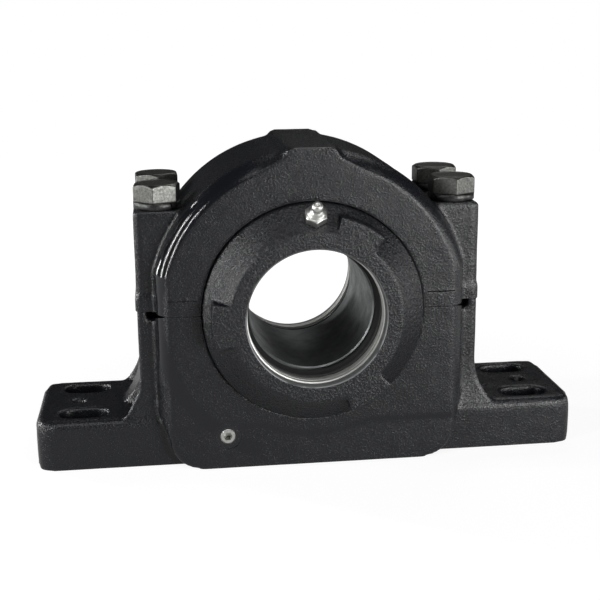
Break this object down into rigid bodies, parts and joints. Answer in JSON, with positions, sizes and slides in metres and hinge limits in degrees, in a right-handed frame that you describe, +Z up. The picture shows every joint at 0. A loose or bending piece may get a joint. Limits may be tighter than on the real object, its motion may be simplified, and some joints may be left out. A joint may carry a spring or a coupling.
{
  "type": "pillow block bearing",
  "caption": "Split cast pillow block with flanged feet, slotted holes, bolted cap, round end covers and a barrel roller bearing on a tapered shaft sleeve.",
  "frame": {"origin": "on the mounting plane, directly under the middle of the shaft axis", "axes": "+X along the base from the left foot to the right foot, +Y along the shaft from the front cover to the rear cover, +Z up"},
  "size_m": [0.314, 0.1376, 0.1806],
  "materials": {
    "black_paint_iron": "satin black enamel over sand-cast iron",
    "cover_iron": "satin black enamel over sand-cast iron",
    "zinc_bolt": "zinc plated, slightly dull",
    "spring_steel": "dark spring steel",
    "ground_steel": "ground bearing steel, oiled",
    "dark_steel": "fine turned steel with a dark oil film",
    "bright_steel": "bright turned steel",
    "plated_fitting": "bright zinc plating",
    "bronze": "machined cage metal",
    "black_rubber": "matt black"
  },
  "bodies": {
    "housing": {"housing_base": "black_paint_iron", "housing_cap": "black_paint_iron", "cap_bolts": "zinc_bolt", "spring_washers": "spring_steel", "dowel_pins": "ground_steel", "drain_plug": "plated_fitting", "cover_front": "cover_iron", "cover_rear": "cover_iron", "seal_casing_front": "bright_steel", "seal_casing_rear": "bright_steel", "seal_lip_front": "black_rubber", "seal_lip_rear": "black_rubber", "grease_fitting_front": "plated_fitting", "grease_fitting_rear": "plated_fitting", "locating_ring_front": "ground_steel", "locating_ring_rear": "ground_steel", "outer_ring": "ground_steel"},
    "aligning_ring": {"guide_ring": "ground_steel"},
    "shaft_unit": {"inner_ring": "ground_steel", "adapter_sleeve": "dark_steel", "tab_washer": "dark_steel", "locknut": "dark_steel"},
    "cage_front": {"cage_front": "bronze"},
    "cage_rear": {"cage_rear": "bronze"},
    "roller_f01": {"roller_f01": "ground_steel"},
    "roller_f02": {"roller_f02": "ground_steel"},
    "roller_f03": {"roller_f03": "ground_steel"},
    "roller_f04": {"roller_f04": "ground_steel"},
    "roller_f05": {"roller_f05": "ground_steel"},
    "roller_f06": {"roller_f06": "ground_steel"},
    "roller_f07": {"roller_f07": "ground_steel"},
    "roller_f08": {"roller_f08": "ground_steel"},
    "roller_f09": {"roller_f09": "ground_steel"},
    "roller_f10": {"roller_f10": "ground_steel"},
    "roller_f11": {"roller_f11": "ground_steel"},
    "roller_f12": {"roller_f12": "ground_steel"},
    "roller_f13": {"roller_f13": "ground_steel"},
    "roller_f14": {"roller_f14": "ground_steel"},
    "roller_f15": {"roller_f15": "ground_steel"},
    "roller_f16": {"roller_f16": "ground_steel"},
    "roller_r01": {"roller_r01": "ground_steel"},
    "roller_r02": {"roller_r02": "ground_steel"},
    "roller_r03": {"roller_r03": "ground_steel"},
    "roller_r04": {"roller_r04": "ground_steel"},
    "roller_r05": {"roller_r05": "ground_steel"},
    "roller_r06": {"roller_r06": "ground_steel"},
    "roller_r07": {"roller_r07": "ground_steel"},
    "roller_r08": {"roller_r08": "ground_steel"},
    "roller_r09": {"roller_r09": "ground_steel"},
    "roller_r10": {"roller_r10": "ground_steel"},
    "roller_r11": {"roller_r11": "ground_steel"},
    "roller_r12": {"roller_r12": "ground_steel"},
    "roller_r13": {"roller_r13": "ground_steel"},
    "roller_r14": {"roller_r14": "ground_steel"},
    "roller_r15": {"roller_r15": "ground_steel"},
    "roller_r16": {"roller_r16": "ground_steel"}
  },
  "joints": [
    {"name": "self_align", "type": "hinge", "parent": "housing", "child": "aligning_ring", "pos_m": [0, 0, 0.09], "axis": [1, 0, 0], "range_deg": [-1.5, 1.5]},
    {"name": "shaft_spin", "type": "hinge", "parent": "aligning_ring", "child": "shaft_unit", "pos_m": [0, 0, 0.09], "axis": [0, 1, 0], "continuous": true},
    {"name": "cage_front_spin", "type": "hinge", "parent": "aligning_ring", "child": "cage_front", "pos_m": [0, 0, 0.09], "axis": [0, 1, 0], "continuous": true},
    {"name": "cage_rear_spin", "type": "hinge", "parent": "aligning_ring", "child": "cage_rear", "pos_m": [0, 0, 0.09], "axis": [0, 1, 0], "continuous": true},
    {"name": "roller_f01_spin", "type": "hinge", "parent": "cage_front", "child": "roller_f01", "pos_m": [0, -0.0115, 0.14419], "axis": [0, 0.9782, 0.2076], "continuous": true},
    {"name": "roller_f02_spin", "type": "hinge", "parent": "cage_front", "child": "roller_f02", "pos_m": [0.02074, -0.0115, 0.14007], "axis": [0.0794, 0.9782, 0.1918], "continuous": true},
    {"name": "roller_f03_spin", "type": "hinge", "parent": "cage_front", "child": "roller_f03", "pos_m": [0.03832, -0.0115, 0.12832], "axis": [0.1468, 0.9782, 0.1468], "continuous": true},
    {"name": "roller_f04_spin", "type": "hinge", "parent": "cage_front", "child": "roller_f04", "pos_m": [0.05007, -0.0115, 0.11074], "axis": [0.1918, 0.9782, 0.0794], "continuous": true},
    {"name": "roller_f05_spin", "type": "hinge", "parent": "cage_front", "child": "roller_f05", "pos_m": [0.05419, -0.0115, 0.09], "axis": [0.2076, 0.9782, 0], "continuous": true},
    {"name": "roller_f06_spin", "type": "hinge", "parent": "cage_front", "child": "roller_f06", "pos_m": [0.05007, -0.0115, 0.06926], "axis": [0.1918, 0.9782, -0.0794], "continuous": true},
    {"name": "roller_f07_spin", "type": "hinge", "parent": "cage_front", "child": "roller_f07", "pos_m": [0.03832, -0.0115, 0.05168], "axis": [0.1468, 0.9782, -0.1468], "continuous": true},
    {"name": "roller_f08_spin", "type": "hinge", "parent": "cage_front", "child": "roller_f08", "pos_m": [0.02074, -0.0115, 0.03993], "axis": [0.0794, 0.9782, -0.1918], "continuous": true},
    {"name": "roller_f09_spin", "type": "hinge", "parent": "cage_front", "child": "roller_f09", "pos_m": [0, -0.0115, 0.03581], "axis": [0, 0.9782, -0.2076], "continuous": true},
    {"name": "roller_f10_spin", "type": "hinge", "parent": "cage_front", "child": "roller_f10", "pos_m": [-0.02074, -0.0115, 0.03993], "axis": [-0.0794, 0.9782, -0.1918], "continuous": true},
    {"name": "roller_f11_spin", "type": "hinge", "parent": "cage_front", "child": "roller_f11", "pos_m": [-0.03832, -0.0115, 0.05168], "axis": [-0.1468, 0.9782, -0.1468], "continuous": true},
    {"name": "roller_f12_spin", "type": "hinge", "parent": "cage_front", "child": "roller_f12", "pos_m": [-0.05007, -0.0115, 0.06926], "axis": [-0.1918, 0.9782, -0.0794], "continuous": true},
    {"name": "roller_f13_spin", "type": "hinge", "parent": "cage_front", "child": "roller_f13", "pos_m": [-0.05419, -0.0115, 0.09], "axis": [-0.2076, 0.9782, 0], "continuous": true},
    {"name": "roller_f14_spin", "type": "hinge", "parent": "cage_front", "child": "roller_f14", "pos_m": [-0.05007, -0.0115, 0.11074], "axis": [-0.1918, 0.9782, 0.0794], "continuous": true},
    {"name": "roller_f15_spin", "type": "hinge", "parent": "cage_front", "child": "roller_f15", "pos_m": [-0.03832, -0.0115, 0.12832], "axis": [-0.1468, 0.9782, 0.1468], "continuous": true},
    {"name": "roller_f16_spin", "type": "hinge", "parent": "cage_front", "child": "roller_f16", "pos_m": [-0.02074, -0.0115, 0.14007], "axis": [-0.0794, 0.9782, 0.1918], "continuous": true},
    {"name": "roller_r01_spin", "type": "hinge", "parent": "cage_rear", "child": "roller_r01", "pos_m": [0, 0.0115, 0.14419], "axis": [0, 0.9782, -0.2076], "continuous": true},
    {"name": "roller_r02_spin", "type": "hinge", "parent": "cage_rear", "child": "roller_r02", "pos_m": [-0.02074, 0.0115, 0.14007], "axis": [0.0794, 0.9782, -0.1918], "continuous": true},
    {"name": "roller_r03_spin", "type": "hinge", "parent": "cage_rear", "child": "roller_r03", "pos_m": [-0.03832, 0.0115, 0.12832], "axis": [0.1468, 0.9782, -0.1468], "continuous": true},
    {"name": "roller_r04_spin", "type": "hinge", "parent": "cage_rear", "child": "roller_r04", "pos_m": [-0.05007, 0.0115, 0.11074], "axis": [0.1918, 0.9782, -0.0794], "continuous": true},
    {"name": "roller_r05_spin", "type": "hinge", "parent": "cage_rear", "child": "roller_r05", "pos_m": [-0.05419, 0.0115, 0.09], "axis": [0.2076, 0.9782, 0], "continuous": true},
    {"name": "roller_r06_spin", "type": "hinge", "parent": "cage_rear", "child": "roller_r06", "pos_m": [-0.05007, 0.0115, 0.06926], "axis": [0.1918, 0.9782, 0.0794], "continuous": true},
    {"name": "roller_r07_spin", "type": "hinge", "parent": "cage_rear", "child": "roller_r07", "pos_m": [-0.03832, 0.0115, 0.05168], "axis": [0.1468, 0.9782, 0.1468], "continuous": true},
    {"name": "roller_r08_spin", "type": "hinge", "parent": "cage_rear", "child": "roller_r08", "pos_m": [-0.02074, 0.0115, 0.03993], "axis": [0.0794, 0.9782, 0.1918], "continuous": true},
    {"name": "roller_r09_spin", "type": "hinge", "parent": "cage_rear", "child": "roller_r09", "pos_m": [0, 0.0115, 0.03581], "axis": [0, 0.9782, 0.2076], "continuous": true},
    {"name": "roller_r10_spin", "type": "hinge", "parent": "cage_rear", "child": "roller_r10", "pos_m": [0.02074, 0.0115, 0.03993], "axis": [-0.0794, 0.9782, 0.1918], "continuous": true},
    {"name": "roller_r11_spin", "type": "hinge", "parent": "cage_rear", "child": "roller_r11", "pos_m": [0.03832, 0.0115, 0.05168], "axis": [-0.1468, 0.9782, 0.1468], "continuous": true},
    {"name": "roller_r12_spin", "type": "hinge", "parent": "cage_rear", "child": "roller_r12", "pos_m": [0.05007, 0.0115, 0.06926], "axis": [-0.1918, 0.9782, 0.0794], "continuous": true},
    {"name": "roller_r13_spin", "type": "hinge", "parent": "cage_rear", "child": "roller_r13", "pos_m": [0.05419, 0.0115, 0.09], "axis": [-0.2076, 0.9782, 0], "continuous": true},
    {"name": "roller_r14_spin", "type": "hinge", "parent": "cage_rear", "child": "roller_r14", "pos_m": [0.05007, 0.0115, 0.11074], "axis": [-0.1918, 0.9782, -0.0794], "continuous": true},
    {"name": "roller_r15_spin", "type": "hinge", "parent": "cage_rear", "child": "roller_r15", "pos_m": [0.03832, 0.0115, 0.12832], "axis": [-0.1468, 0.9782, -0.1468], "continuous": true},
    {"name": "roller_r16_spin", "type": "hinge", "parent": "cage_rear", "child": "roller_r16", "pos_m": [0.02074, 0.0115, 0.14007], "axis": [-0.0794, 0.9782, -0.1918], "continuous": true}
  ],
  "couplings": [
    {"joint": "cage_front_spin", "follows": "shaft_spin", "ratio": 0.42329},
    {"joint": "cage_rear_spin", "follows": "shaft_spin", "ratio": 0.42329},
    {"joint": "roller_f01_spin", "follows": "shaft_spin", "ratio": -3.1128},
    {"joint": "roller_f02_spin", "follows": "shaft_spin", "ratio": -3.1128},
    {"joint": "roller_f03_spin", "follows": "shaft_spin", "ratio": -3.1128},
    {"joint": "roller_f04_spin", "follows": "shaft_spin", "ratio": -3.1128},
    {"joint": "roller_f05_spin", "follows": "shaft_spin", "ratio": -3.1128},
    {"joint": "roller_f06_spin", "follows": "shaft_spin", "ratio": -3.1128},
    {"joint": "roller_f07_spin", "follows": "shaft_spin", "ratio": -3.1128},
    {"joint": "roller_f08_spin", "follows": "shaft_spin", "ratio": -3.1128},
    {"joint": "roller_f09_spin", "follows": "shaft_spin", "ratio": -3.1128},
    {"joint": "roller_f10_spin", "follows": "shaft_spin", "ratio": -3.1128},
    {"joint": "roller_f11_spin", "follows": "shaft_spin", "ratio": -3.1128},
    {"joint": "roller_f12_spin", "follows": "shaft_spin", "ratio": -3.1128},
    {"joint": "roller_f13_spin", "follows": "shaft_spin", "ratio": -3.1128},
    {"joint": "roller_f14_spin", "follows": "shaft_spin", "ratio": -3.1128},
    {"joint": "roller_f15_spin", "follows": "shaft_spin", "ratio": -3.1128},
    {"joint": "roller_f16_spin", "follows": "shaft_spin", "ratio": -3.1128},
    {"joint": "roller_r01_spin", "follows": "shaft_spin", "ratio": -3.1128},
    {"joint": "roller_r02_spin", "follows": "shaft_spin", "ratio": -3.1128},
    {"joint": "roller_r03_spin", "follows": "shaft_spin", "ratio": -3.1128},
    {"joint": "roller_r04_spin", "follows": "shaft_spin", "ratio": -3.1128},
    {"joint": "roller_r05_spin", "follows": "shaft_spin", "ratio": -3.1128},
    {"joint": "roller_r06_spin", "follows": "shaft_spin", "ratio": -3.1128},
    {"joint": "roller_r07_spin", "follows": "shaft_spin", "ratio": -3.1128},
    {"joint": "roller_r08_spin", "follows": "shaft_spin", "ratio": -3.1128},
    {"joint": "roller_r09_spin", "follows": "shaft_spin", "ratio": -3.1128},
    {"joint": "roller_r10_spin", "follows": "shaft_spin", "ratio": -3.1128},
    {"joint": "roller_r11_spin", "follows": "shaft_spin", "ratio": -3.1128},
    {"joint": "roller_r12_spin", "follows": "shaft_spin", "ratio": -3.1128},
    {"joint": "roller_r13_spin", "follows": "shaft_spin", "ratio": -3.1128},
    {"joint": "roller_r14_spin", "follows": "shaft_spin", "ratio": -3.1128},
    {"joint": "roller_r15_spin", "follows": "shaft_spin", "ratio": -3.1128},
    {"joint": "roller_r16_spin", "follows": "shaft_spin", "ratio": -3.1128}
  ]
}
